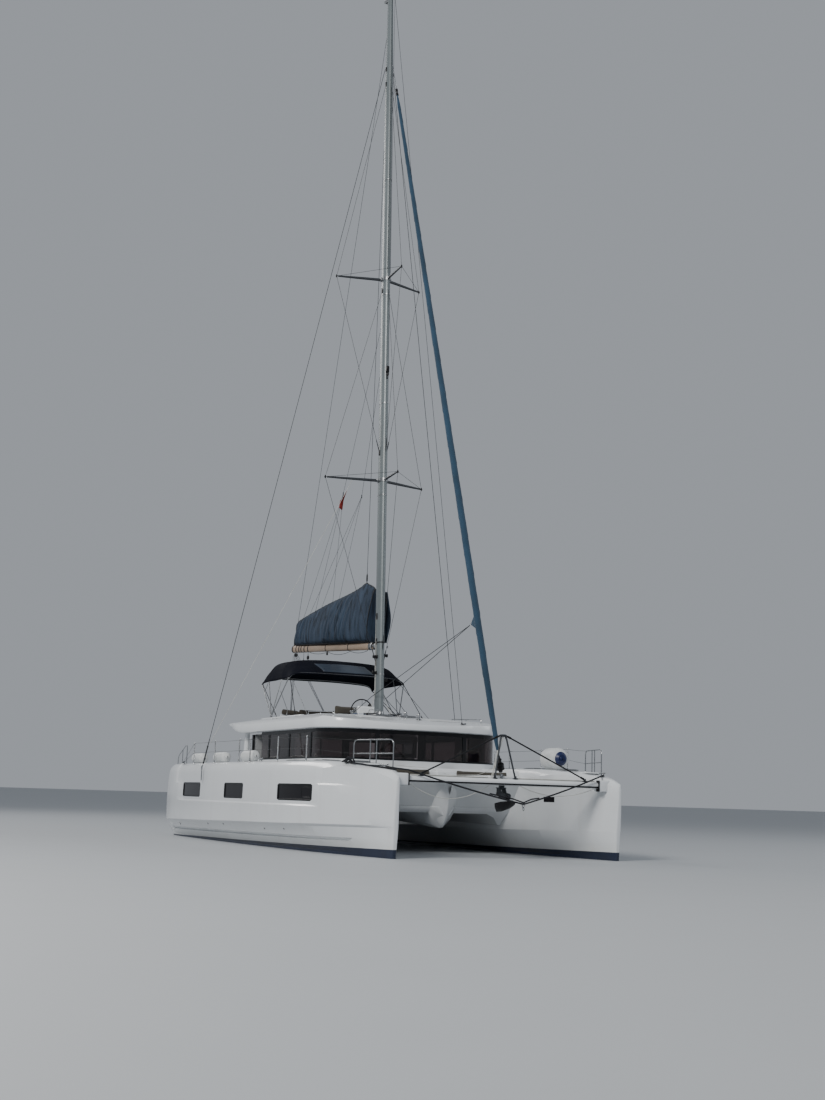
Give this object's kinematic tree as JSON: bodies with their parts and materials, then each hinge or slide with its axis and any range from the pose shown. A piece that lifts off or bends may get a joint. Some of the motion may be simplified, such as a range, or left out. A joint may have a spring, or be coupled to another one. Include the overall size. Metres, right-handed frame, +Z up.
{
  "type": "sailing catamaran",
  "caption": "Flybridge cruising catamaran afloat, with twin hulls, a saloon, bimini, furled headsail and stowed mainsail on a swinging boom.",
  "frame": {"origin": "on the waterline plane, amidships, on the centreline", "axes": "+X to the bow, +Y to port, +Z up"},
  "size_m": [14.75, 8.1594, 26.8303],
  "materials": {
    "gelcoat": "white gelcoat, glossy",
    "antifouling": "navy antifouling paint, matt",
    "glass": "dark tinted glass",
    "spar": "grey anodised",
    "steel": "stainless, satin",
    "bronze": "bronze, dull",
    "black": "black, moulded",
    "canvas": "navy acrylic canvas",
    "cover": "blue-grey acrylic canvas, wrinkled",
    "furled": "teal-blue sacrificial strip, rolled",
    "cushion": "brown-grey woven cushion cloth",
    "net": "knotless white net",
    "boom_paint": "cream paint",
    "teak": "oiled",
    "fender_skin": "white vinyl, inflated"
  },
  "bodies": {
    "root": {"anchor": "steel", "bimini_canopy": "canvas", "bimini_frame": "steel", "bridgedeck": "gelcoat", "cap_shroud_port": "steel", "cap_shroud_starboard": "steel", "cockpit_bench": "gelcoat", "cockpit_table": "teak", "crossbeam": "spar", "deck_side_port": "gelcoat", "deck_side_starboard": "gelcoat", "fender_port_large": "fender_skin", "fender_starboard_1": "fender_skin", "fender_starboard_2": "fender_skin", "fender_starboard_3": "fender_skin", "fly_settee": "cushion", "foredeck": "gelcoat", "furled_headsail": "furled", "furler_drum": "black", "galley": "teak", "hardtop": "gelcoat", "helm_console": "gelcoat", "helm_seat": "cushion", "hull_port": "gelcoat", "hull_starboard": "gelcoat", "keel_port": "antifouling", "keel_starboard": "antifouling", "mast": "spar", "pulpit_port": "steel", "pulpit_starboard": "steel", "saildrive_port": "antifouling", "saildrive_starboard": "antifouling", "saloon_settee": "cushion", "saloon_walls": "gelcoat", "spreaders_lower": "spar", "spreaders_upper": "spar", "striker": "steel", "trampoline_port": "net", "trampoline_starboard": "net", "walkway": "gelcoat", "window_corner_port": "glass", "window_corner_starboard": "glass", "window_front": "glass", "window_side_port_1": "glass", "window_side_port_2": "glass", "window_side_port_3": "glass", "window_side_starboard_1": "glass", "window_side_starboard_2": "glass", "window_side_starboard_3": "glass"},
    "boom": {"boom": "boom_paint", "sail_cover": "cover"},
    "rudder_starboard": {"rudder_starboard": "antifouling"},
    "rudder_port": {"rudder_port": "antifouling"},
    "propeller_starboard": {"propeller_starboard": "bronze"},
    "propeller_port": {"propeller_port": "bronze"},
    "steering_wheel": {"steering_wheel": "steel"},
    "saloon_door": {"saloon_door": "glass"},
    "engine_hatch_starboard": {"engine_hatch_starboard": "gelcoat"},
    "engine_hatch_port": {"engine_hatch_port": "gelcoat"}
  },
  "joints": [
    {"name": "boom_swing", "type": "hinge", "parent": "root", "child": "boom", "pos_m": [-0.40823, 0, 5.45693], "axis": [-0.0396, 0, 0.9992], "range_deg": [-50, 50]},
    {"name": "rudder_starboard_turn", "type": "hinge", "parent": "root", "child": "rudder_starboard", "pos_m": [-6.3, -2.9, -0.4], "axis": [0, 0, 1], "range_deg": [-35, 35]},
    {"name": "rudder_port_turn", "type": "hinge", "parent": "root", "child": "rudder_port", "pos_m": [-6.3, 2.9, -0.4], "axis": [0, 0, 1], "range_deg": [-35, 35]},
    {"name": "wheel_turn", "type": "hinge", "parent": "root", "child": "steering_wheel", "pos_m": [-1, -0.06, 3.665], "axis": [1, 0, 0], "range_deg": [-540, 540]},
    {"name": "propeller_starboard_spin", "type": "hinge", "parent": "root", "child": "propeller_starboard", "pos_m": [-5.15, -2.9, -0.85], "axis": [1, 0, 0], "continuous": true},
    {"name": "propeller_port_spin", "type": "hinge", "parent": "root", "child": "propeller_port", "pos_m": [-5.15, 2.9, -0.85], "axis": [1, 0, 0], "continuous": true},
    {"name": "saloon_door_slide", "type": "slide", "parent": "root", "child": "saloon_door", "axis": [0, 1, 0], "range_m": [0, 1.33]},
    {"name": "engine_hatch_starboard_lift", "type": "hinge", "parent": "root", "child": "engine_hatch_starboard", "pos_m": [-4.78, -2.9, 2.124], "axis": [0, 1, 0], "range_deg": [0, 85]},
    {"name": "engine_hatch_port_lift", "type": "hinge", "parent": "root", "child": "engine_hatch_port", "pos_m": [-4.78, 2.9, 2.124], "axis": [0, 1, 0], "range_deg": [0, 85]}
  ],
  "couplings": [
    {"joint": "rudder_port_turn", "follows": "rudder_starboard_turn", "ratio": 1},
    {"joint": "wheel_turn", "follows": "rudder_starboard_turn", "ratio": 15.4}
  ]
}
